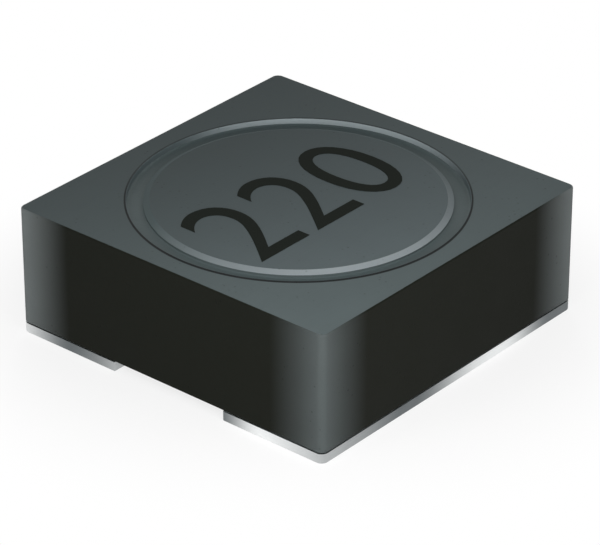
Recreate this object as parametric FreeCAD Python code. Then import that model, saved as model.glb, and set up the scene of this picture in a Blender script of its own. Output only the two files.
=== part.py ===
import FreeCAD, Part

# Shielded surface-mount power inductor, as taken apart on a bench.
#
# A square ferrite shield ring stands round a ferrite drum core. The winding fills the waist of the
# drum in two layers, and its two ends drop through notches in the lower flange into two flat
# tinned terminals, where they are soldered. Resin in the ring-shaped gap round the upper flange
# holds the drum, and thin films of adhesive hold the terminals under the shield.
#
# Millimetres. The origin is the centre of the underside, on the plane of the solder faces.
# +Z is up, the two terminals lie at the -X and +X sides, and each runs along Y.
import math
import os

Vector = FreeCAD.Vector
UP = Vector(0, 0, 1)
ORIGIN = Vector(0, 0, 0)

# Shield ring: a pressed and ground square ferrite block with a round bore.
shield_side = 12.5
shield_corner_radius = 0.25
shield_thin_wall = 0.82
shield_edge_break = 0.06
bore_edge_break = 0.04

# Drum core: two round flanges on a round post. Its marked face lies a hair below the shield's top,
# so that the ink does not stand proud.
drum_sink = 0.02
flange_thickness = 0.84
flange_chamfer_width = 0.2
flange_chamfer_drop = 0.09
flange_edge_break = 0.08
post_corner_break = 0.16
air_gap = 0.52

# Notches in the lower flange, where the two ends of the wire leave the waist.
notch_width = 1.3
notch_depth = 1.05
notch_corner_radius = 0.3

# Winding: enamelled round copper wire, measured over the enamel. It turns about the post in two
# layers and is drawn with a few flats, because it is long and lies out of sight.
wire_diameter = 0.56
wire_flats = 8
turn_clearance = 0.02
levels_per_layer = 3
crossover_slope = 14.0
winding_to_rim = 1.04
lead_to_rim = 0.54
lead_bend_radius = 0.6
lead_end_recess = 0.04

# Terminals: flat tinned plates under the shield, flush with its sides.
terminal_thickness = 0.34
terminal_width = 4.0
terminal_inner_corner_radius = 0.25
terminal_edge_break = 0.04
eyelet_clearance = 0.14

# Adhesive film between each end of a terminal and the shield.
film_thickness = 0.04
film_length = 2.2
film_width = 2.6
film_inset = 0.3

# Solder and resin.
solder_cone_height = 0.24
resin_sink = 0.18
resin_meniscus = 0.05
upper_resin_height = 0.5
lower_resin_sink = 0.1
lower_resin_height = 0.5
lower_resin_arc = 52.0

# Radii that follow, from the outside of the shield inwards to the post.
bore_radius = shield_side / 2 - shield_thin_wall
flange_radius = bore_radius - air_gap
winding_radius = flange_radius - winding_to_rim
lead_radius = flange_radius - lead_to_rim
eyelet_radius = wire_diameter / 2 + eyelet_clearance

# Where the wire steps from one level to the next it slopes, so the levels are a little further
# apart than the wire is thick. Halfway through a step it also swings out a little.
wire_spacing = wire_diameter + turn_clearance
level_pitch = wire_spacing / math.cos(math.radians(crossover_slope))
half_step = level_pitch / 2
outer_swing_radius = winding_radius - wire_diameter / 2
inner_swing_radius = outer_swing_radius - wire_spacing
outer_layer_radius = math.sqrt(outer_swing_radius**2 - half_step**2)
inner_layer_radius = math.sqrt(inner_swing_radius**2 - half_step**2)
post_radius = inner_layer_radius - wire_spacing + wire_diameter / 2

# Heights, from the solder faces upwards. The leads run at level 0 and the turns lie above them.
shield_bottom = terminal_thickness + film_thickness
waist_bottom = shield_bottom + flange_thickness
lead_level = waist_bottom + turn_clearance + wire_diameter / 2
waist_height = levels_per_layer * level_pitch + wire_diameter + 2 * turn_clearance
waist_top = waist_bottom + waist_height
drum_top = waist_top + flange_thickness
top_face = drum_top + drum_sink
shield_height = top_face - shield_bottom

terminal_sides = {"start": -1, "finish": 1}
terminal_ends = {"front": -1, "back": 1}


def rounded_square_outline(side, radius, height):
    """Closed wire of a square with rounded corners, centred on Z at that height."""
    half = side / 2
    edges = []
    for quarter in range(4):
        turn = FreeCAD.Rotation(UP, 90 * quarter)
        run = Part.makeLine(Vector(-half + radius, -half, 0), Vector(half - radius, -half, 0))
        corner = Part.makeCircle(radius, Vector(half - radius, -half + radius, 0), UP, -90, 0)
        for edge in (run, corner):
            edge.Placement = FreeCAD.Placement(Vector(0, 0, height), turn)
            edges.append(edge)
    return Part.Wire(edges)


def edges_at(shape, height):
    """Edges of a shape that lie wholly at one height."""
    found = []
    for edge in shape.Edges:
        box = edge.BoundBox
        if abs(box.ZMin - height) < 1e-4 and abs(box.ZMax - height) < 1e-4:
            found.append(edge)
    return found


def upright_edges(shape, near_x):
    """Straight upright edges of a shape at one distance from the YZ plane."""
    found = []
    for edge in shape.Edges:
        box = edge.BoundBox
        upright = box.XLength < 1e-4 and box.YLength < 1e-4
        if upright and abs(box.XMin - near_x) < 1e-4:
            found.append(edge)
    return found


def revolved(points, angle=360.0):
    """Solid made by turning a closed outline of (radius, height) corners about Z from the +X side."""
    corners = [Vector(radius, 0, height) for radius, height in points]
    face = Part.Face(Part.makePolygon(corners + corners[:1]))
    return face.revolve(ORIGIN, UP, angle)


def shield_ring():
    """Square block with rounded upright corners, broken edges and a round bore."""
    outline = rounded_square_outline(shield_side, shield_corner_radius, shield_bottom)
    block = Part.Face(outline).extrude(UP * shield_height)
    rims = edges_at(block, shield_bottom) + edges_at(block, top_face)
    block = block.makeChamfer(shield_edge_break, rims)
    bore = revolved(
        [
            (0, shield_bottom),
            (bore_radius + bore_edge_break, shield_bottom),
            (bore_radius, shield_bottom + bore_edge_break),
            (bore_radius, top_face - bore_edge_break),
            (bore_radius + bore_edge_break, top_face),
            (0, top_face),
        ]
    )
    return block.cut(bore)


def drum_core():
    """Two flanges on a post, with a chamfered upper rim and two notches in the lower flange."""
    spool = revolved(
        [
            (0, shield_bottom),
            (flange_radius - flange_edge_break, shield_bottom),
            (flange_radius, shield_bottom + flange_edge_break),
            (flange_radius, waist_bottom - flange_edge_break),
            (flange_radius - flange_edge_break, waist_bottom),
            (post_radius + post_corner_break, waist_bottom),
            (post_radius, waist_bottom + post_corner_break),
            (post_radius, waist_top - post_corner_break),
            (post_radius + post_corner_break, waist_top),
            (flange_radius - flange_edge_break, waist_top),
            (flange_radius, waist_top + flange_edge_break),
            (flange_radius, drum_top - flange_chamfer_drop),
            (flange_radius - flange_chamfer_width, drum_top),
            (0, drum_top),
        ]
    )
    for side in terminal_sides.values():
        spool = spool.cut(lead_notch(side))
    return spool


def lead_notch(side):
    """Cutter for a notch that is open at the rim of the lower flange, with rounded inner corners."""
    inner = flange_radius - notch_depth
    length = notch_depth + air_gap
    corner = Vector(inner, -notch_width / 2, shield_bottom)
    block = Part.makeBox(length, notch_width, flange_thickness, corner)
    cutter = block.makeFillet(notch_corner_radius, upright_edges(block, inner))
    if side < 0:
        cutter.rotate(ORIGIN, UP, 180)
    return cutter


def polar(radius, degrees, level):
    """Point of the wire's centre line at that radius, angle and level of the winding."""
    angle = math.radians(degrees)
    height = lead_level + level * level_pitch
    return Vector(radius * math.cos(angle), radius * math.sin(angle), height)


def crossover_angle(radius, swing_radius):
    """Angle about the post that a step between levels takes, at its steepest slope.

    The step is two arcs that meet halfway at the swing radius, so that they are tangent to each
    other and to the level turns before and after them.
    """
    reach = half_step / math.sin(math.radians(crossover_slope))
    chord = math.hypot(radius, reach)
    return 2 * math.degrees(math.atan2(reach, radius) + math.acos(swing_radius / chord))


def level_run(radius, start, end, level):
    """Points along a level stretch of a turn, after its start, each less than a half turn on."""
    pieces = math.ceil((end - start) / 120)
    return [polar(radius, start + (end - start) * (n + 1) / pieces, level) for n in range(pieces)]


def crossover(radius, swing_radius, start, level, climb):
    """The two points after the start of a step to the level above or below."""
    span = crossover_angle(radius, swing_radius)
    halfway = polar(swing_radius, start + span / 2, level + climb / 2)
    return [halfway, polar(radius, start + span, level + climb)]


def lead_points(side, tangent_point):
    """Points from the soldered end of the wire up to where it meets the winding at a tangent."""
    foot = Vector(side * lead_radius, 0, 0)
    level_foot = foot + UP * lead_level
    inwards = (tangent_point - level_foot).normalize()
    return [
        foot + UP * lead_end_recess,
        level_foot - UP * lead_bend_radius,
        level_foot + inwards * lead_bend_radius,
        tangent_point,
    ]


def winding_points():
    """Points of the wire's centre line, from the start terminal to the finish terminal.

    Each turn lies level and steps to the next one in a short crossover, so the turns stack. The
    inner layer climbs from the lead level, a half turn at the top leads to the outer layer, and
    that one comes down again. Its last crossover ends where the finish lead leaves.
    """
    inner, outer = inner_layer_radius, outer_layer_radius
    enter = 180 + math.degrees(math.acos(inner / lead_radius))
    leave = 360 - math.degrees(math.acos(outer / lead_radius))
    inner_span = crossover_angle(inner, inner_swing_radius)
    outer_span = crossover_angle(outer, outer_swing_radius)

    points = lead_points(terminal_sides["start"], polar(inner, enter, 0))
    angle = enter
    for level in range(levels_per_layer):
        points += crossover(inner, inner_swing_radius, angle, level, 1)
        last = level == levels_per_layer - 1
        next_angle = angle + (180 if last else 360)
        points += level_run(inner, angle + inner_span, next_angle, level + 1)
        angle = next_angle

    angle += 180
    points.append(polar(outer, angle, levels_per_layer))

    for level in range(levels_per_layer, 0, -1):
        step_down = angle + (leave - outer_span - angle) % 360
        points += level_run(outer, angle, step_down, level)
        points += crossover(outer, outer_swing_radius, step_down, level, -1)
        angle = step_down + outer_span

    finish = lead_points(terminal_sides["finish"], polar(outer, leave, 0))
    return points + finish[-2::-1]


def wire_stretch(section, heading, start, end):
    """Skin of the wire between two points: straight, or the arc that is tangent to the heading.

    Gives the skin, the section's outline at its far end, and the heading there.
    """
    chord = end - start
    half_turn = heading.getAngle(chord)
    if half_turn < 1e-6:
        return section.extrude(chord), section.translated(chord), heading
    axis = heading.cross(chord).normalize()
    radius = chord.Length / (2 * math.sin(half_turn))
    centre = start + axis.cross(heading) * radius
    degrees = math.degrees(2 * half_turn)
    far_section = section.copy()
    far_section.rotate(centre, axis, degrees)
    far_heading = FreeCAD.Rotation(axis, degrees).multVec(heading)
    return section.revolve(centre, axis, degrees), far_section, far_heading


def winding():
    """Whole wire as one solid: stretches end to end, each starting where the last one points."""
    points = winding_points()
    rim = [Vector(wire_diameter / 2, 0, 0)]
    for n in range(wire_flats):
        rim.append(FreeCAD.Rotation(UP, 360 * (n + 1) / wire_flats).multVec(rim[0]))
    section = Part.makePolygon([points[0] + corner for corner in rim])
    skin = [Part.Face(section)]
    heading = UP
    for start, end in zip(points, points[1:]):
        stretch, section, heading = wire_stretch(section, heading, start, end)
        skin += stretch.Faces
    skin.append(Part.Face(section))
    shell = Part.Shell(skin)
    shell.sewShape()
    wire = Part.Solid(shell)
    if wire.Volume < 0:
        wire.reverse()
    return wire


def terminal(side):
    """Flat plate under one side of the shield, with an eyelet for the end of the wire."""
    outer_x = shield_side / 2
    inner_x = outer_x - terminal_width
    corner = Vector(inner_x, -shield_side / 2, 0)
    plate = Part.makeBox(terminal_width, shield_side, terminal_thickness, corner)
    plate = plate.makeFillet(shield_corner_radius, upright_edges(plate, outer_x))
    plate = plate.makeFillet(terminal_inner_corner_radius, upright_edges(plate, inner_x))
    plate = plate.makeChamfer(terminal_edge_break, edges_at(plate, 0))
    eyelet = Part.makeCylinder(eyelet_radius, terminal_thickness, Vector(lead_radius, 0, 0))
    plate = plate.cut(eyelet)
    if side < 0:
        plate.rotate(ORIGIN, UP, 180)
    return plate


def solder_joint(side, wire):
    """Solder that fills the eyelet, dished below, with a cone that climbs the wire above."""
    wire_radius = wire_diameter / 2
    cone = revolved(
        [
            (0, lead_end_recess),
            (wire_radius, lead_end_recess),
            (eyelet_radius, 0),
            (eyelet_radius, terminal_thickness),
            (wire_radius, terminal_thickness + solder_cone_height),
            (0, terminal_thickness + solder_cone_height),
        ]
    )
    cone.translate(Vector(side * lead_radius, 0, 0))
    return cone.cut(wire)


def resin_ring(low, high, angle):
    """Resin between the flange and the bore, with its free surface drawn down in the middle."""
    middle = (flange_radius + bore_radius) / 2
    outline = [(flange_radius, low), (bore_radius, low), (bore_radius, high)]
    outline += [(middle, high - resin_meniscus), (flange_radius, high)]
    return revolved(outline, angle)


def upper_resin():
    high = top_face - resin_sink
    return resin_ring(high - upper_resin_height, high, 360.0)


def lower_resin(end):
    """Short run of resin in the lower gap, midway between the terminals."""
    low = shield_bottom + lower_resin_sink
    run = resin_ring(low, low + lower_resin_height, lower_resin_arc)
    run.rotate(ORIGIN, UP, end * 90 - lower_resin_arc / 2)
    return run


def adhesive_film(side, end):
    """Film between a corner of the shield and the end of the terminal below it."""
    reach = shield_side / 2 - film_inset
    low_x = min(side * reach, side * (reach - film_width))
    low_y = min(end * reach, end * (reach - film_length))
    corner = Vector(low_x, low_y, terminal_thickness)
    return Part.makeBox(film_width, film_length, film_thickness, corner)


def build():
    wire = winding()
    pieces = {
        "shield_ring": shield_ring(),
        "drum_core": drum_core(),
        "winding": wire,
        "upper_gap_resin": upper_resin(),
    }
    for end, end_sign in terminal_ends.items():
        pieces[f"lower_gap_resin_{end}"] = lower_resin(end_sign)
    for name, side in terminal_sides.items():
        pieces[f"terminal_{name}"] = terminal(side)
        pieces[f"solder_joint_{name}"] = solder_joint(side, wire)
        for end, end_sign in terminal_ends.items():
            pieces[f"terminal_film_{name}_{end}"] = adhesive_film(side, end_sign)
    return pieces


def main():
    os.makedirs("parts", exist_ok=True)
    for name, shape in build().items():
        print(f"{name}: {len(shape.Solids)} solid, valid {shape.isValid()}, volume {shape.Volume:.3f}")
        shape.exportStep(os.path.join("parts", name + ".step"))
    print(f"overall {shield_side} by {shield_side} by {top_face:.3f}")


main()
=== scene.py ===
# %% [markdown]
# # A shielded surface-mount power inductor
#
# The real part is a square ferrite block with a round hole, and a ferrite drum wound with copper
# wire is glued into the hole. Two tinned plates under the block are soldered to a circuit board.
# The packed model gives the main sizes. These cells add smooth shapes, finishes, light and a
# camera to it.

# %% The packed model
import math

import bmesh
import bpy
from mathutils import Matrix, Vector


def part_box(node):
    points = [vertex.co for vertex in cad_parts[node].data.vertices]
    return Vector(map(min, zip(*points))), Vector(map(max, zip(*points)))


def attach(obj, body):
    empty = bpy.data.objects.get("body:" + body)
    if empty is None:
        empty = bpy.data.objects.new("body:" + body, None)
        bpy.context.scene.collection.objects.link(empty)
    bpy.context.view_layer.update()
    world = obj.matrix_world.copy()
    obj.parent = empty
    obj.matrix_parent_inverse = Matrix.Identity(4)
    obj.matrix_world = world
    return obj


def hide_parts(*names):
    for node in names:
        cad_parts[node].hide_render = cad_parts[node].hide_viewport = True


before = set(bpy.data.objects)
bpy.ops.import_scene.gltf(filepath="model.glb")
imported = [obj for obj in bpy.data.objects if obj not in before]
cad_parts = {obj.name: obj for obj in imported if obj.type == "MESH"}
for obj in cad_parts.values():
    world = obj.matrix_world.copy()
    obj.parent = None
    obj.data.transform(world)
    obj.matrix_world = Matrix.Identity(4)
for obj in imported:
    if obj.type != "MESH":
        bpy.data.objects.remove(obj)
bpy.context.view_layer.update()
print("nodes", sorted(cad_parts))

# %% [markdown]
# ## Sizes
#
# A part this small is easier to draw in millimetres, because the edit tools work to a fixed
# precision. So every piece is drawn a thousand times too large and is brought down at the end.
# The outline, the heights, the bore, the drum and the eyelets are measured on the packed model.
# Small radii and edge breaks are the script's own.

# %% Sizes in millimetres
MM = 0.001
shield_corner_radius = 0.25
bore_edge_break = 0.04


def box_in_mm(node):
    """The lowest and highest corner of a packed node."""
    low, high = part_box(node)
    return [value / MM for value in low], [value / MM for value in high]


shield_low, shield_high = box_in_mm("shield_ring")
drum_low, drum_high = box_in_mm("drum_core")
resin_low, resin_high = box_in_mm("upper_gap_resin")
solder_low, solder_high = box_in_mm("solder_joint_finish")
half_side = shield_high[0]
shield_bottom, top_face = shield_low[2], shield_high[2]
drum_top, flange_radius = drum_high[2], drum_high[0]
bore_radius = resin_high[0]
eyelet_x = (solder_low[0] + solder_high[0]) / 2
eyelet_radius = (solder_high[0] - solder_low[0]) / 2
print("side", round(2 * half_side, 3), "top", round(top_face, 3), "bore", round(bore_radius, 3))
print("drum", round(flange_radius, 3), "eyelet", round(eyelet_radius, 3), "at", round(eyelet_x, 3))

# %% [markdown]
# ## The camera
#
# The picture is a view from a little above, over one corner. Its lens and place were worked out
# from where the body's corners lie in it. A long lens keeps the upright edges nearly parallel.
# The camera stands a little lower than the line through the middle, so that the part sits high.
# Directions round the part are bearings in degrees, which are easier to read than vectors: 0 is
# the front and 90 the right side. They also place the lamps and the painted highlights, glint,
# light and shade in the finishes.

# %% Camera
# The side of the part that lies nearest in the picture.
near_side = 40.31

camera_elevation = 29.25
camera_distance = 113.0
camera_lens = 213.06
camera_drop = 0.62
camera_step = 0.045
camera_clip_start = 0.002


def way(azimuth, elevation=0.0):
    """The direction of a bearing round the part, raised by an elevation."""
    turn, lift = math.radians(azimuth), math.radians(elevation)
    reach = math.cos(lift)
    return Vector((math.sin(turn) * reach, -math.cos(turn) * reach, math.sin(lift)))


def looking_back(azimuth, elevation):
    """The rotation of a camera or a lamp that stands in that direction and faces the part."""
    return (math.radians(90 - elevation), 0, math.radians(azimuth))


back = way(near_side, camera_elevation)
right = way(near_side + 90)
above = back.cross(right)
body_centre = Vector((0, 0, (shield_bottom + top_face) / 2))
camera_place = body_centre + back * camera_distance - above * camera_drop + right * camera_step
bpy.ops.object.camera_add(
    location=camera_place * MM, rotation=looking_back(near_side, camera_elevation)
)
camera = bpy.context.object
camera.data.lens = camera_lens
camera.data.clip_start = camera_clip_start
bpy.context.scene.camera = camera
print("camera", [round(value, 2) for value in camera_place])

# %% [markdown]
# ## A small language for shaders
#
# A finish is worked out at every point from the point's place, and Blender does this with nodes.
# Written out one by one they hide the idea, so a small class stands for a number in the shader,
# and a sum written with it adds the Math nodes. Every node comes from one method, add.

# %% Sums in a shader


class Value:
    """A number, a vector or a colour in a shader. Sums on numbers add Math nodes."""

    def __init__(self, shader, socket):
        self.shader = shader
        self.socket = socket

    def __add__(self, other):
        return self.shader.math("ADD", self, other)

    def __sub__(self, other):
        return self.shader.math("SUBTRACT", self, other)

    def __rsub__(self, other):
        return self.shader.math("SUBTRACT", other, self)

    def __mul__(self, other):
        return self.shader.math("MULTIPLY", self, other)

    def __truediv__(self, other):
        return self.shader.math("DIVIDE", self, other)

    def __pow__(self, other):
        return self.shader.math("POWER", self, other)

    def __abs__(self):
        return self.shader.math("ABSOLUTE", self)

    __radd__ = __add__
    __rmul__ = __mul__

    def slope(self, low, high, interpolation="LINEAR"):
        """0 up to low, 1 from high on, and a straight rise between them."""
        return self.shader.add(
            "ShaderNodeMapRange", {"interpolation_type": interpolation}, {0: self, 1: low, 2: high}
        )

    def rise(self, low, high):
        """As slope, but the rise starts and ends gently."""
        return self.slope(low, high, "SMOOTHSTEP")

    def hump(self, start, full, fading, end):
        """0 up to start, 1 from full to fading, and 0 again from end on."""
        return self.rise(start, full) * (1 - self.rise(fading, end))


print("a value has", [name for name in vars(Value) if callable(getattr(Value, name))])

# %% Nodes


class Shader:
    """A tree of nodes. One method adds every node to it."""

    def __init__(self, tree):
        self.tree = tree

    def feed(self, socket, value):
        """Links a value to a socket, or writes a constant on it."""
        if isinstance(value, Value):
            self.tree.links.new(value.socket, socket)
        else:
            socket.default_value = value

    def add(self, kind, settings=None, inputs=None, output=0):
        """Adds a node with its settings and its sockets, and gives one of its outputs."""
        node = self.tree.nodes.new(kind)
        for name, value in (settings or {}).items():
            setattr(node, name, value)
        for name, value in (inputs or {}).items():
            self.feed(node.inputs[name], value)
        return Value(self, node.outputs[output])

    def math(self, operation, *values):
        """A Math node on values and plain numbers."""
        return self.add("ShaderNodeMath", {"operation": operation}, dict(enumerate(values)))

    def seen(self):
        """1 for what is looked at, straight or in a gloss, and 0 for all other light."""
        straight = self.add("ShaderNodeLightPath", output="Is Camera Ray")
        mirrored = self.add("ShaderNodeLightPath", output="Is Glossy Ray")
        return self.math("MAXIMUM", straight, mirrored)


print("a shader has", [name for name in vars(Shader) if callable(getattr(Shader, name))])

# %% [markdown]
# ## Finishes
#
# Each finish of the real part has a tone, a roughness and a fine relief that change from place to
# place. A picture could carry them, but it needs an unwrapped surface and has one sharpness. So
# they are worked out from Object coordinates, which stay with the piece, and from noise.

# %% A finish


class Finish(Shader):
    """A material that is being made, with places in millimetres."""

    def __init__(self, name):
        self.material = bpy.data.materials.new(name)
        self.material.use_nodes = True
        super().__init__(self.material.node_tree)
        self.surface = self.tree.nodes["Principled BSDF"]
        self.place = self.scaled(self.add("ShaderNodeTexCoord", output="Object"), 1 / MM)
        self.x, self.y = self.split(self.place)[:2]
        self.radius = (self.x * self.x + self.y * self.y) ** 0.5
        normal = self.add("ShaderNodeTexCoord", output="Normal")
        self.facing_y, self.facing_z = self.split(normal)[1:]

    def paint(self, **sockets):
        """Feeds the surface's sockets, by their names with _ for a space."""
        for name, value in sockets.items():
            self.feed(self.surface.inputs[name.replace("_", " ")], value)

    def bump(self, height, depth):
        """Raises the surface by up to depth millimetres where height is 1."""
        normal = self.add(
            "ShaderNodeBump", inputs={"Strength": 1.0, "Distance": depth * MM, "Height": height}
        )
        self.paint(Normal=normal)

    def split(self, vector):
        """The three numbers of a vector."""
        node = self.add("ShaderNodeSeparateXYZ", inputs={0: vector}).socket.node
        return [Value(self, output) for output in node.outputs]

    def scaled(self, vector, factor):
        """A vector or a colour times a number."""
        return self.add(
            "ShaderNodeVectorMath", {"operation": "SCALE"}, {0: vector, "Scale": factor}
        )

    def along(self, azimuth):
        """How far each point lies from the part's axis towards a bearing."""
        return self.x * way(azimuth).x + self.y * way(azimuth).y

    def blend(self, share, first, second):
        """A colour between two: the first where share is 0, the second where it is 1."""
        return self.add(
            "ShaderNodeMix", {"data_type": "RGBA"}, {0: share, 6: first, 7: second}, output=2
        )

    def noise(self, size, stretch=(1, 1, 1), detail=2.0, roughness=0.5):
        """Cloudy noise from 0 to 1 whose spots are about size millimetres across."""
        place = self.add(
            "ShaderNodeVectorMath",
            {"operation": "MULTIPLY"},
            {0: self.place, 1: [1 / (size * factor) for factor in stretch]},
        )
        return self.add(
            "ShaderNodeTexNoise",
            inputs={"Vector": place, "Scale": 1.0, "Detail": detail, "Roughness": roughness},
        )

    def spots(self, spacing, reach):
        """1 in round spots about spacing apart, whose reach is a share of it, 0 elsewhere."""
        distance = self.add(
            "ShaderNodeTexVoronoi", inputs={"Vector": self.place, "Scale": 1 / spacing}
        )
        return 1 - distance.rise(reach * 0.5, reach)


print("a finish adds", [name for name in vars(Finish) if callable(getattr(Finish, name))])

# %% A colour


def colour(red, green, blue):
    """A colour as a picture writes it, 0 to 255, made linear by the usual screen curve."""
    parts = [part / 255 for part in (red, green, blue)]
    linear = [part / 12.92 if part < 0.04 else ((part + 0.055) / 1.055) ** 2.4 for part in parts]
    return [*linear, 1]


print("slate grey is", [round(part, 3) for part in colour(88, 97, 98)])

# %% [markdown]
# ## Ferrite
#
# Ferrite is pressed from powder and fired. Where it is only pressed it is nearly black. The top
# is ground flat afterwards and turns slate grey, with fine parallel marks. Which faces are ground
# could be told by separate materials, but the way that a face points tells it too, and one finish
# then fits both pieces. Clouds, grain and small pits break up the tone on all faces.

# %% Ferrite
ferrite_cloud = 1.6
ferrite_grain = 0.09
mark_width = 0.06
mark_stretch = (1, 40, 1)
pit_spacing = 0.22
pit_reach = 0.2
pit_patch = 0.9
pit_patch_edge = (0.5, 0.62)
ferrite_relief = 0.0012
ground_facing = (0.95, 0.99)


class Ferrite(Finish):
    """Ferrite with its ground faces and its fine marks, before its colour."""

    def __init__(self, name):
        super().__init__(name)
        self.ground = abs(self.facing_z).rise(*ground_facing)
        cloud = self.noise(ferrite_cloud, detail=3.0)
        grain = self.noise(ferrite_grain, detail=3.0, roughness=0.7)
        marks = self.noise(mark_width, stretch=mark_stretch) * self.ground
        pitted = self.noise(pit_patch).rise(*pit_patch_edge)
        pits = self.spots(pit_spacing, pit_reach) * pitted
        # The sum of the shares is close to 1 on the whole, so that a base colour keeps its tone.
        self.shade = 0.86 + 0.16 * cloud + 0.1 * grain + 0.06 * marks - 0.3 * pits
        roughness = 0.62 - 0.14 * self.ground + 0.12 * (grain - 0.5) + 0.1 * (cloud - 0.5)
        self.paint(Roughness=roughness, Specular_IOR_Level=0.08)
        self.bump(grain + marks - 3 * pits, ferrite_relief)

    def take_colour(self, base):
        """Takes a colour and makes it lighter and darker by the ferrite's shade."""
        self.paint(Base_Color=self.scaled(base, self.shade))


shield_finish = Ferrite("ferrite_shield_finish")
drum_finish = Ferrite("ferrite_drum_finish")
print("plain ferrite has", len(drum_finish.tree.nodes), "nodes")

# %% [markdown]
# ## The shield's sides
#
# The upright edges of the block are painted lighter, a painted highlight of their rounding, in a
# band that fades over two millimetres. It could be painted by hand, but it depends only on how far
# a point is from the nearest upright edge, and that is a short sum. The painted highlight on the
# upright edge on the near side is dimmest, so two tones of it are blended across the part.

# %% The shield's sides
pressed_black = colour(18, 20, 14)
# Painted highlights of the rounded upright edges, in a full tone and a dimmer near tone.
painted_edge_highlight = colour(116, 122, 122)
painted_near_edge_highlight = colour(80, 86, 86)
highlight_starts, highlight_ends = 0.15, 2.1
highlight_curve = 1.3
near_dimming_starts, near_dimming_ends = 2.0, 8.0

from_side_x = half_side - abs(shield_finish.x)
from_side_y = half_side - abs(shield_finish.y)
from_edge = (from_side_x * from_side_x + from_side_y * from_side_y) ** 0.5
# Painted highlight: the sides are painted lighter close to each upright edge.
edge_highlight_share = (1 - from_edge.slope(highlight_starts, highlight_ends)) ** highlight_curve
towards_near = shield_finish.along(near_side)
near_dimming = towards_near.slope(near_dimming_starts, near_dimming_ends)
edge_highlight_tone = shield_finish.blend(near_dimming, painted_edge_highlight, painted_near_edge_highlight)
side_tone = shield_finish.blend(edge_highlight_share, pressed_black, edge_highlight_tone)
print("the wear ends", highlight_ends, "mm from the upright edges")

# %% [markdown]
# ## The shield's bore
#
# The wall of the bore is painted a lighter grey than the sides, with a painted highlight that is
# palest on one side. A narrow black line of painted shadow runs round its mouth, broader and
# darker towards the near side. The wall and the line could be faces of their own, but both are
# rings about the part's axis, so the radius finds them.

# %% The shield's bore
# Painted highlight: the bore's wall is painted lighter than the sides, palest towards one bearing.
bore_painted_highlight = colour(152, 162, 165)
bore_shade = colour(84, 94, 96)
bore_highlight_side = 204.31
bore_highlight_spread = (0.42, 0.95)
mouth_margin = 0.01
# The colour of the painted shadow line at the bore's mouth.
shadow_line_black = colour(5, 9, 10)
line_gap = 0.015
line_thin, line_thick = 0.018, 0.078
line_softness = 0.02
line_faintest = 0.6
line_darkens = (-0.45, 0.05)

mouth_radius = bore_radius + bore_edge_break
line_radius = mouth_radius + line_gap
bore_end = mouth_radius + mouth_margin
in_bore = 1 - shield_finish.radius.rise(bore_end, bore_end + mouth_margin)
bore_highlight_share = (shield_finish.along(bore_highlight_side) / bore_radius).rise(*bore_highlight_spread)
bore_tone = shield_finish.blend(bore_highlight_share, bore_shade, bore_painted_highlight)
side_tone = shield_finish.blend(in_bore, side_tone, bore_tone)

# Painted shadow: a dark line round the bore's mouth, broader and darker towards the near side.
near_share = towards_near / bore_radius
line_width = line_thin + (line_thick - line_thin) * near_share.rise(0.0, 1.0)
from_line = abs(shield_finish.radius - line_radius)
line = 1 - from_line.slope(line_width, line_width + line_softness)
line_strength = line_faintest + (1 - line_faintest) * near_share.rise(*line_darkens)
painted_shadow_line = line * line_strength * shield_finish.ground
print("the line lies at radius", round(line_radius, 3))

# %% [markdown]
# ## The ground tops
#
# The tops are painted a little lighter towards one side, on the block and on the drum: a painted
# light gradient. A slope from dark to light along that bearing does this with one blend for each.
# The drum's chamfer has a painted glint on one side. A point is on the chamfer where it faces
# steeply up, but not straight up.

# %% The shield's top
# Painted light: the tops are painted lighter towards this bearing.
painted_light_side = 82.31
shield_top_painted_shade = colour(67, 76, 77)
shield_top_painted_light = colour(85, 95, 96)
shield_light_gradient = (-7.0, 4.0)

painted_light_share = shield_finish.along(painted_light_side).slope(*shield_light_gradient)
top_tone_with_painted_light = shield_finish.blend(painted_light_share, shield_top_painted_shade, shield_top_painted_light)
shield_skin = shield_finish.blend(shield_finish.ground, side_tone, top_tone_with_painted_light)
shield_finish.take_colour(shield_finish.blend(painted_shadow_line, shield_skin, shadow_line_black))
print("shield finish has", len(shield_finish.tree.nodes), "nodes")

# %% The drum's top and chamfer
drum_top_painted_shade = colour(66, 75, 76)
drum_top_painted_light = colour(90, 100, 102)
drum_light_gradient = (-4.4, 4.4)
flange_slate = colour(83, 93, 94)
chamfer_slate = colour(85, 96, 97)
chamfer_painted_glint = colour(145, 153, 156)
chamfer_glint_side = 68.81
chamfer_glint_spread = (-0.15, 1.0)
chamfer_facing = (0.85, 0.9, 0.95, 0.98)

# The drum's top gets the same painted light gradient.
painted_light_share = drum_finish.along(painted_light_side).slope(*drum_light_gradient)
top_tone_with_painted_light = drum_finish.blend(painted_light_share, drum_top_painted_shade, drum_top_painted_light)
drum_skin = drum_finish.blend(drum_finish.ground, flange_slate, top_tone_with_painted_light)
# Painted glint: the chamfer is painted bright towards one bearing.
towards_glint = drum_finish.along(chamfer_glint_side) / flange_radius
glint_share = towards_glint.slope(*chamfer_glint_spread)
chamfer_tone = drum_finish.blend(glint_share, chamfer_slate, chamfer_painted_glint)
on_chamfer = drum_finish.facing_z.hump(*chamfer_facing)
drum_finish.take_colour(drum_finish.blend(on_chamfer, drum_skin, chamfer_tone))
print("drum finish has", len(drum_finish.tree.nodes), "nodes")

# %% [markdown]
# ## Resin
#
# The resin in the gap is a grey epoxy that was dabbed in, so it is smoother than the ferrite and a
# little wavy. It is painted darker at the near and the far end of the ring, a painted shade.
# Clear resin would need light inside it, but this one is filled and lets none in, so a tone and a
# low relief are enough.

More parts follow.
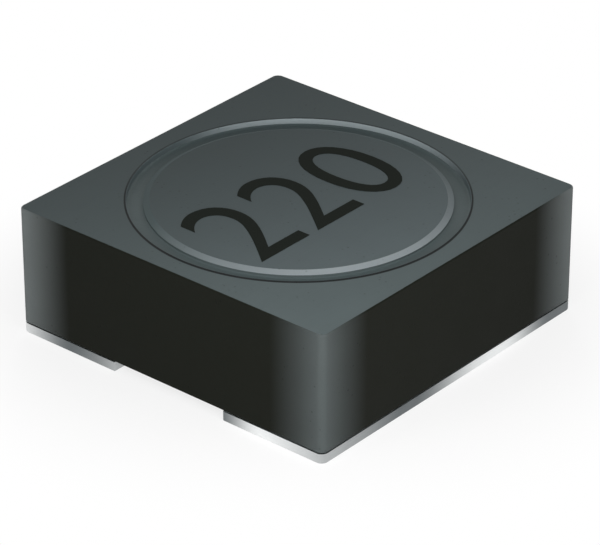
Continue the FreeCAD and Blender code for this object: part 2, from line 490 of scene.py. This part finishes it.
# %% Resin finish
resin_dark = colour(78, 89, 89)
resin_light = colour(86, 97, 98)
resin_painted_shade = colour(76, 87, 88)
resin_wave = 1.3
resin_fleck = 0.12
resin_relief = 0.02
resin_shade_from, resin_shade_full = 1.0, 5.2

resin_finish = Finish("gap_resin_finish")
wave = resin_finish.noise(resin_wave, detail=1.0)
fleck = resin_finish.noise(resin_fleck)
# Painted shade: the resin is painted darker towards the near and the far end of the ring.
thickness = abs(resin_finish.along(near_side)).rise(resin_shade_from, resin_shade_full)
resin_tone = resin_finish.blend(wave, resin_dark, resin_light)
resin_finish.paint(
    Base_Color=resin_finish.blend(thickness, resin_tone, resin_painted_shade),
    Roughness=0.42 + 0.14 * fleck,
    Specular_IOR_Level=0.15,
)
resin_finish.bump(wave + 0.2 * fleck, resin_relief)
print("resin finish has", len(resin_finish.tree.nodes), "nodes")

# %% [markdown]
# ## Tin and solder
#
# Tin plate is a matt metal, and its cut edges show broad soft streaks from dark to light. These
# are painted reflections: reflections of lamps would slide when the part turns, so the streaks are
# painted into the tone and lie at set places along each edge. Solder is the same metal with the
# same painted streaks, paler and more even.

# %% Tin and solder finishes
tin_grain = 0.05
tin_grain_stretch = (1, 6, 1)
tin_cloud = 1.1
tin_relief = 0.002
left_streak_fades = (-7.0, -4.1)
middle_streak = (-4.1, 0.2, 0.2, 2.1)
right_streak = (2.1, 3.8)
right_streak_fades = (3.9, 6.3)
right_streak_loss = 0.55
near_streak_fades = (-6.25, -2.6)
near_streak_tone = 0.45
far_streak = (-1.9, 2.2, 2.6, 5.1)
far_streak_tone = 0.95
flat_tone = 0.5
end_facing = (0.4, 0.9)
flat_facing = (0.8, 0.95)


def tin(name, dark, light):
    """Matt tin whose cut edges run from dark to light in broad soft streaks of painted reflection.
    """
    finish = Finish(name)
    grain = finish.noise(tin_grain, stretch=tin_grain_stretch)
    cloud = finish.noise(tin_cloud)
    left_end = 1 - finish.x.rise(*left_streak_fades)
    middle = finish.x.hump(*middle_streak)
    right_loss = right_streak_loss * finish.x.slope(*right_streak_fades)
    right_end = finish.x.rise(*right_streak) * (1 - right_loss)
    near_end = near_streak_tone * (1 - finish.y.slope(*near_streak_fades))
    far_end = far_streak_tone * finish.y.hump(*far_streak)
    faces_y = abs(finish.facing_y).rise(*end_facing)
    flat = abs(finish.facing_z).rise(*flat_facing)
    # The streaks on the upright faces are painted reflections.
    streaks = (left_end + middle + right_end) * faces_y + (near_end + far_end) * (1 - faces_y)
    tone = streaks * (1 - flat) + flat_tone * flat + 0.1 * (cloud - 0.5)
    finish.paint(
        Base_Color=finish.blend(tone, dark, light),
        Roughness=0.28 + 0.12 * grain + 0.08 * cloud,
        Metallic=1.0,
    )
    finish.bump(grain, tin_relief)
    return finish


tin_finish = tin(
    "tinned_terminal_finish", dark=colour(106, 111, 113), light=colour(242, 244, 244)
)
solder_finish = tin(
    "solder_finish", dark=colour(180, 184, 186), light=colour(222, 224, 226)
)
print("tin finish has", len(tin_finish.tree.nodes), "nodes")

# %% [markdown]
# ## Copper, film and ink
#
# Enamelled copper is a warm orange under a clear coat, and the shader has a coat layer for that.
# The adhesive film under the block is brown and matt. The ink on the drum is matt and thin, and a
# little of the ferrite's grain comes through it. Flat colours would look like plastic, so each is
# two close tones mixed by noise.

# %% Copper, film and ink finishes
copper_dark = colour(176, 88, 40)
copper_light = colour(206, 116, 62)
copper_cloud = 0.8
film_dark = colour(84, 80, 70)
film_light = colour(104, 98, 86)
film_weave = 0.1
ink_dark = colour(12, 16, 12)
ink_light = colour(22, 27, 22)
ink_speck = 0.07
ink_relief = 0.002

copper_finish = Finish("enamelled_copper_finish")
amber = copper_finish.noise(copper_cloud)
copper_finish.paint(
    Base_Color=copper_finish.blend(amber, copper_dark, copper_light),
    Roughness=0.24 + 0.1 * amber,
    Metallic=0.7,
    Coat_Weight=0.6,
    Coat_Roughness=0.12,
)

film_finish = Finish("adhesive_film_finish")
weave = film_finish.noise(film_weave)
film_finish.paint(
    Base_Color=film_finish.blend(weave, film_dark, film_light), Roughness=0.6 + 0.2 * weave
)

ink_finish = Finish("marking_ink_finish")
ink_grain = ink_finish.noise(ink_speck, detail=3.0, roughness=0.7)
ink_finish.paint(
    Base_Color=ink_finish.blend(ink_grain, ink_dark, ink_light),
    Roughness=0.6 + 0.2 * ink_grain,
    Specular_IOR_Level=0.06,
)
ink_finish.bump(ink_grain, ink_relief)
print("materials", [material.name for material in bpy.data.materials])

# %% [markdown]
# ## Tools for the bench
#
# Each piece starts as a primitive at its size. The edit tools act on whatever is selected, so
# edges and faces are chosen first. That could be done by their numbers, but every cut changes
# those, so they are chosen by their place. Bevels are rounded with several narrow faces.

# %% Choosing by place
close = 0.001
close_radius = 0.01


def corners(item):
    """The vertices of an edge or a face, or a vertex by itself."""
    return getattr(item, "verts", [item])


def at_side(item, x):
    """Whether an item lies at one place from left to right."""
    return all(abs(vertex.co.x - x) < close for vertex in corners(item))


def at_height(item, z, reach=close):
    """Whether an item lies within reach of one height."""
    return all(abs(vertex.co.z - z) < reach for vertex in corners(item))


def at_radius(item, radius, reach=close_radius):
    """Whether an item lies within reach of one distance from the part's axis."""
    return all(abs(vertex.co.xy.length - radius) < reach for vertex in corners(item))


def is_level(edge):
    """Whether both ends of an edge are equally high."""
    return abs(edge.verts[0].co.z - edge.verts[1].co.z) < close / 10


def choose(kind, test):
    """Selects the vertices, edges or faces that pass the test, in edit mode, and nothing else."""
    bpy.ops.mesh.select_mode(type=kind)
    bpy.ops.mesh.select_all(action="DESELECT")
    mesh = bpy.context.edit_object.data
    form = bmesh.from_edit_mesh(mesh)
    items = {"VERT": form.verts, "EDGE": form.edges, "FACE": form.faces}[kind]
    chosen = [item for item in items if test(item)]
    for item in chosen:
        item.select_set(True)
    bmesh.update_edit_mesh(mesh)
    return len(chosen)


print("a place is right within", close, "mm")

# %% Cutting
past = 1.0


def alone(piece):
    """Selects one object and nothing else."""
    bpy.ops.object.select_all(action="DESELECT")
    piece.select_set(True)
    bpy.context.view_layer.objects.active = piece


def apply_modifier(piece, kind, **settings):
    """Adds a modifier with its settings and applies it."""
    alone(piece)
    modifier = piece.modifiers.new(kind.lower(), kind)
    for name, value in settings.items():
        setattr(modifier, name, value)
    bpy.ops.object.modifier_apply(modifier=modifier.name)


def cut(piece, cutter):
    """Cuts one object out of another and throws the cutter away."""
    apply_modifier(piece, "BOOLEAN", operation="DIFFERENCE", solver="EXACT", object=cutter)
    bpy.data.objects.remove(cutter)


print("cutters reach", past, "mm past what they cut")

# %% Blanks
corner_segments = 12
break_segments = 3


def round_bar(radius, low, high, faces, centre=(0, 0)):
    """A round bar that stands upright, as a cutter or as a blank."""
    bpy.ops.mesh.primitive_cylinder_add(
        vertices=faces, radius=radius, depth=high - low, location=(*centre, (low + high) / 2)
    )
    piece = bpy.context.object
    alone(piece)
    bpy.ops.object.transform_apply(location=True, rotation=False, scale=False)
    return piece


def rounded_slab(low, high, radii, lower_break=0.0, upper_break=0.0):
    """A slab with rounded upright edges. radii are those on its left and on its right."""
    size = [end - start for start, end in zip(low, high)]
    centre = [(start + end) / 2 for start, end in zip(low, high)]
    bpy.ops.mesh.primitive_cube_add(size=1, location=centre, scale=size)
    piece = bpy.context.object
    alone(piece)
    bpy.ops.object.transform_apply(location=True, rotation=False, scale=True)
    bpy.ops.object.mode_set(mode="EDIT")
    for side, radius in zip((low[0], high[0]), radii):
        choose("EDGE", lambda edge: at_side(edge, side) and not is_level(edge))
        bpy.ops.mesh.bevel(offset=radius, segments=corner_segments, affect="EDGES")
    for height, edge_break in ((low[2], lower_break), (high[2], upper_break)):
        if edge_break:
            choose("EDGE", lambda edge: at_height(edge, height))
            bpy.ops.mesh.bevel(offset=edge_break, segments=break_segments, affect="EDGES")
    bpy.ops.object.mode_set(mode="OBJECT")
    return piece


print("upright edges are rounded in", corner_segments, "faces")

# %% [markdown] ## Handing over  A finished piece is shaded smooth across its small angles only.
# Weighted normals then keep the large flat faces flat in the shading, which plain smooth
# shading doesn't.

# %% Handing over
smooth_angle = math.radians(35)


def hand_over(piece, name, node, finish):
    """Shades a finished piece, brings it down to metres, gives it its finish, attaches it to the
    root body and hides the packed node that it stands in for.
    """
    alone(piece)
    bpy.ops.object.shade_smooth_by_angle(angle=smooth_angle)
    apply_modifier(piece, "WEIGHTED_NORMAL", keep_sharp=True)
    piece.scale = (MM, MM, MM)
    bpy.ops.object.transform_apply(location=False, rotation=False, scale=True)
    piece.name = name
    piece.data.name = name
    piece.data.materials.clear()
    piece.data.materials.append(finish.material)
    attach(piece, "root")
    if node:
        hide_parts(node)
    triangles = sum(len(face.vertices) - 2 for face in piece.data.polygons)
    size = [round(side / MM, 3) for side in piece.dimensions]
    print(name, triangles, "triangles, size in mm", size)


print("smooth up to", round(math.degrees(smooth_angle)), "degrees")

# %% [markdown]
# ## The shield ring
#
# The real shield is pressed as a square block with rounded upright edges and a round bore. Here a
# block is bevelled first along the upright edges, then along the rims, and the bore is cut with a
# Boolean. A bridge between a square and a round loop would also work, but the cut leaves a clean
# flat top, and the bore's rims can be bevelled afterwards.

# %% Shield ring
shield_lower_break = 0.02
shield_upper_break = 0.06
bore_faces = 256
bore_break_segments = 2

shield = rounded_slab(
    shield_low,
    shield_high,
    (shield_corner_radius, shield_corner_radius),
    lower_break=shield_lower_break,
    upper_break=shield_upper_break,
)
cut(shield, round_bar(bore_radius, shield_bottom - past, top_face + past, bore_faces))
bpy.ops.object.mode_set(mode="EDIT")
bore_rims = choose("EDGE", lambda edge: at_radius(edge, bore_radius, 2 * close) and is_level(edge))
bpy.ops.mesh.bevel(offset=bore_edge_break, segments=bore_break_segments, affect="EDGES")
bpy.ops.object.mode_set(mode="OBJECT")
print("bore rim edges", bore_rims)
hand_over(shield, "shield", "shield_ring", shield_finish)

# %% [markdown]
# ## The drum
#
# The drum is ground from one pressed blank: two flanges on a post. It starts as the lower flange.
# Its top is inset to the post's radius and pulled up to the upper flange, and from there it is
# widened again. A profile could be spun instead, but this is how one would draw it by hand, and
# it keeps every ring of faces even.

# %% The drum's form
flange_thickness = 0.84
waist_bottom = drum_low[2] + flange_thickness
waist_top = drum_top - flange_thickness
post_radius = 2.695
chamfer_width = 0.2
chamfer_drop = 0.09
drum_faces = 256


def pull_up(distance):
    """Extrudes the chosen face straight up."""
    bpy.ops.mesh.extrude_region_move(TRANSFORM_OT_translate={"value": (0, 0, distance)})


def widen(factor):
    """Widens the chosen face about the part's axis."""
    bpy.ops.transform.resize(value=(factor, factor, 1), center_override=(0, 0, 0))


drum = round_bar(flange_radius, drum_low[2], waist_bottom, drum_faces)
bpy.ops.object.mode_set(mode="EDIT")
choose("FACE", lambda face: at_height(face, waist_bottom))
bpy.ops.mesh.inset(thickness=flange_radius - post_radius)
pull_up(waist_top - waist_bottom)
bpy.ops.mesh.extrude_region_move()
widen(flange_radius / post_radius)
pull_up(drum_top - waist_top)
bpy.ops.mesh.inset(thickness=chamfer_width)
choose("VERT", lambda vertex: at_height(vertex, drum_top) and at_radius(vertex, flange_radius))
bpy.ops.transform.translate(value=(0, 0, -chamfer_drop))
print("waist from", round(waist_bottom, 3), "to", round(waist_top, 3))

# %% [markdown]
# ## The drum's edges and notches
#
# The flanges' sharp edges are broken, and the post runs into the flanges in a small fill, so that
# the brittle ferrite doesn't chip. The chamfer's edges are marked sharp, and smooth shading stops
# there. The wire's ends pass down through two notches. They could be drawn into the first
# outline, but a cut with two rounded slabs leaves the rings of faces as they are.

# %% The drum's edges
flange_edge_break = 0.08
post_corner_fill = 0.16

for height in (drum_low[2], waist_bottom, waist_top):
    choose("EDGE", lambda edge: at_height(edge, height) and at_radius(edge, flange_radius))
    bpy.ops.mesh.bevel(offset=flange_edge_break, segments=break_segments, affect="EDGES")
for height in (waist_bottom, waist_top):
    choose("EDGE", lambda edge: at_height(edge, height) and at_radius(edge, post_radius))
    bpy.ops.mesh.bevel(offset=post_corner_fill, segments=break_segments, affect="EDGES")
sharp_edges = choose(
    "EDGE",
    lambda edge: at_height(edge, drum_top, chamfer_drop + close)
    and at_radius(edge, flange_radius, chamfer_width + close_radius)
    and is_level(edge),
)
bpy.ops.mesh.mark_sharp()
bpy.ops.object.mode_set(mode="OBJECT")
print("sharp edges", sharp_edges)

# %% The drum's notches
notch_width = 1.3
notch_depth = 1.05
notch_radius = 0.3
notch_outer_radius = 0.05

for side_sign in (-1, 1):
    inner, outer = side_sign * (flange_radius - notch_depth), side_sign * (flange_radius + past)
    low = (min(inner, outer), -notch_width / 2, drum_low[2] - past)
    high = (max(inner, outer), notch_width / 2, waist_bottom + past)
    radii = (notch_outer_radius, notch_radius)[::-side_sign]
    cut(drum, rounded_slab(low, high, radii))
hand_over(drum, "drum", "drum_core", drum_finish)

# %% [markdown]
# ## The marking
#
# The real drum carries a short value code. Any plain number does here. A decal would need a
# picture, so it is drawn as text, made a mesh, and only then stretched to its place. It reads
# along the body's depth and stands a hair proud of the ferrite.

# %% Marking
marking_text = "220"
marking_low = (-1.86, -3.95)
marking_high = (1.94, 3.65)
ink_sunk = 0.004
ink_proud = 0.008
letter_depth = 0.5
letter_steps = 8
letter_offset = -0.004

bpy.ops.object.text_add(location=(0, 0, 0))
marking = bpy.context.object
marking.data.body = marking_text
marking.data.extrude = letter_depth
marking.data.resolution_u = letter_steps
marking.data.offset = letter_offset
alone(marking)
bpy.ops.object.convert(target="MESH")
marking = bpy.context.object
marking.rotation_euler = (0, 0, math.radians(90))
bpy.ops.object.transform_apply(location=True, rotation=True, scale=True)
low = [min(vertex.co[axis] for vertex in marking.data.vertices) for axis in range(3)]
high = [max(vertex.co[axis] for vertex in marking.data.vertices) for axis in range(3)]
target_low = (*marking_low, drum_top - ink_sunk)
target_high = (*marking_high, drum_top + ink_proud)
marking.scale = [(target_high[i] - target_low[i]) / (high[i] - low[i]) for i in range(3)]
marking.location = [target_low[i] - low[i] * marking.scale[i] for i in range(3)]
bpy.ops.object.transform_apply(location=True, rotation=False, scale=True)
hand_over(marking, "marking", None, ink_finish)

# %% [markdown]
# ## Resin in the upper gap
#
# Resin creeps up the walls on both sides while it sets, so its surface is a shallow trough. A
# trough could be spun, but here a round bar is drawn first, its top is inset ring by ring, each
# ring is moved to its height, and the drum's place is cut out. The last ring lies just inside the
# drum's wall. The cut leaves double points there, which are merged.

# %% Upper resin
resin_faces = 192
ring_reach = 0.005
ring_widths = (0.04, 0.06, 0.11, 0.11, 0.11, 0.06, 0.04)
ring_drops = (0.03, 0.045, 0.05, 0.05, 0.045, 0.03, -0.01)

resin = round_bar(bore_radius, resin_low[2], resin_high[2], resin_faces)
bpy.ops.object.mode_set(mode="EDIT")
choose("FACE", lambda face: at_height(face, resin_high[2]))
for ring_width in ring_widths:
    bpy.ops.mesh.inset(thickness=ring_width)
ring_radius = bore_radius
for ring_width, drop in zip(ring_widths, ring_drops):
    ring_radius -= ring_width
    choose(
        "VERT",
        lambda vertex: at_height(vertex, resin_high[2])
        and at_radius(vertex, ring_radius, ring_reach),
    )
    bpy.ops.transform.translate(value=(0, 0, -drop))
bpy.ops.object.mode_set(mode="OBJECT")
print("the last ring has radius", round(ring_radius, 3))

cut(resin, round_bar(flange_radius, resin_low[2] - past, resin_high[2] + past, resin_faces))
bpy.ops.object.mode_set(mode="EDIT")
bpy.ops.mesh.select_all(action="SELECT")
bpy.ops.mesh.remove_doubles(threshold=close)
bpy.ops.object.mode_set(mode="OBJECT")
hand_over(resin, "upper_resin", "upper_gap_resin", resin_finish)

# %% [markdown]
# ## The terminals
#
# Each terminal is a flat tinned plate with its outer corners rounded as the shield's are. The
# wire's end comes down through a round hole in it and is soldered there. The hole could be left
# out, because solder fills it, but then the solder would lie inside the plate.

# %% Terminals
plate_lower_break = 0.04
plate_inner_radius = 0.05
eyelet_faces = 48

for end, side_sign in (("start", -1), ("finish", 1)):
    plate_low, plate_high = box_in_mm("terminal_" + end)
    radii = (plate_inner_radius, shield_corner_radius)[::side_sign]
    plate = rounded_slab(plate_low, plate_high, radii, lower_break=plate_lower_break)
    hole_low, hole_high = plate_low[2] - past, plate_high[2] + past
    hole_centre = (side_sign * eyelet_x, 0)
    cut(plate, round_bar(eyelet_radius, hole_low, hole_high, eyelet_faces, hole_centre))
    hand_over(plate, "plate_" + end, "terminal_" + end, tin_finish)

# %% [markdown]
# ## The nodes that keep their shape
#
# The winding, the solder, the lower resin and the films lie out of sight or are plain. They could
# be drawn again, but their packed shapes are already right, so each only gets its finish.

# %% Finishes for the packed nodes
node_finishes = {
    "winding": copper_finish,
    "lower_gap_resin": resin_finish,
    "solder_joint": solder_finish,
    "terminal_film": film_finish,
}
for node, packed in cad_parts.items():
    for start, finish in node_finishes.items():
        if node.startswith(start):
            for material_slot in packed.material_slots:
                material_slot.material = finish.material
            print(node, "gets", finish.material.name)

# %% [markdown]
# ## Light
#
# The part lies in soft light. A large lamp above gives the top its level tone. Two closer ones
# stand beside the camera, so that the top grows darker towards the back and the near side of the
# drum's chamfer shines. One behind keeps the rear from going black. It is hidden from glossy
# reflections, so that the top shows no sheen of it. A picture of a sky would light the part too,
# but lamps can be set one by one.

# %% Lamps


def softbox(name, azimuth, elevation, distance, size, level_there):
    """A square lamp aimed at the part. level_there is the tone that it gives a white card."""
    bpy.ops.object.light_add(
        type="AREA",
        location=(body_centre + way(azimuth, elevation) * distance) * MM,
        rotation=looking_back(azimuth, elevation),
    )
    lamp = bpy.context.object
    lamp.name = name
    lamp.data.shape = "SQUARE"
    lamp.data.size = size * MM
    # A white card shows a lamp's power over the square of pi times its distance.
    lamp.data.energy = (math.pi * distance * MM) ** 2 * level_there
    print(name, "energy", round(lamp.data.energy, 4))
    return lamp


softbox("lamp_above", azimuth=40, elevation=70, distance=60, size=30, level_there=0.06)
softbox("lamp_right", azimuth=68, elevation=27, distance=27, size=18, level_there=0.5)
softbox("lamp_left", azimuth=14, elevation=27, distance=27, size=18, level_there=0.48)
lamp_behind = softbox(
    "lamp_behind", azimuth=222, elevation=9, distance=60, size=16, level_there=0.5
)
lamp_behind.visible_glossy = False

# %% [markdown]
# ## World and floor
#
# The background is white, and so is the table. Stronger lamps would make them white too, but they
# would wash out the part. So the world is white only where it is looked at, straight or in a
# gloss, and gives a low light otherwise. The floor glows in the same way, a little less close to
# the part, so that the shadow shows there.

# %% World
white = (1, 1, 1, 1)
sky_light = 0.13

world = bpy.data.worlds.new("studio")
world.use_nodes = True
bpy.context.scene.world = world
sky = Shader(world.node_tree)
background = sky.tree.nodes["Background"]
sky.feed(background.inputs["Color"], white)
sky.feed(background.inputs["Strength"], sky_light + (1 - sky_light) * sky.seen())
print("world has", len(sky.tree.nodes), "nodes")

# %% Floor
floor_size = 1.2
paper_dark = (0.9, 0.9, 0.9, 1)
paper_light = (0.94, 0.94, 0.94, 1)
paper_cloud = 6.0
glow_near = 0.78
shadow_fades = (7.0, 13.0)

bpy.ops.mesh.primitive_plane_add(size=floor_size, location=(0, 0, 0))
floor = bpy.context.object
floor.name = "floor"
floor_finish = Finish("floor_white")
paper = floor_finish.noise(paper_cloud)
floor_finish.paint(
    Base_Color=floor_finish.blend(paper, paper_dark, paper_light),
    Roughness=0.9,
    Specular_IOR_Level=0.0,
)
away = floor_finish.radius.rise(*shadow_fades)
glow_share = (glow_near + (1 - glow_near) * away) * floor_finish.seen()
lit = Value(floor_finish, floor_finish.surface.outputs[0])
glow = floor_finish.add("ShaderNodeEmission", inputs={"Color": white, "Strength": 1.0})
both = floor_finish.add("ShaderNodeMixShader", inputs={0: glow_share, 1: lit, 2: glow})
floor_finish.feed(floor_finish.tree.nodes["Material Output"].inputs["Surface"], both)
floor.data.materials.append(floor_finish.material)

bpy.context.scene.view_settings.view_transform = "Standard"

# %% [markdown] ## The end
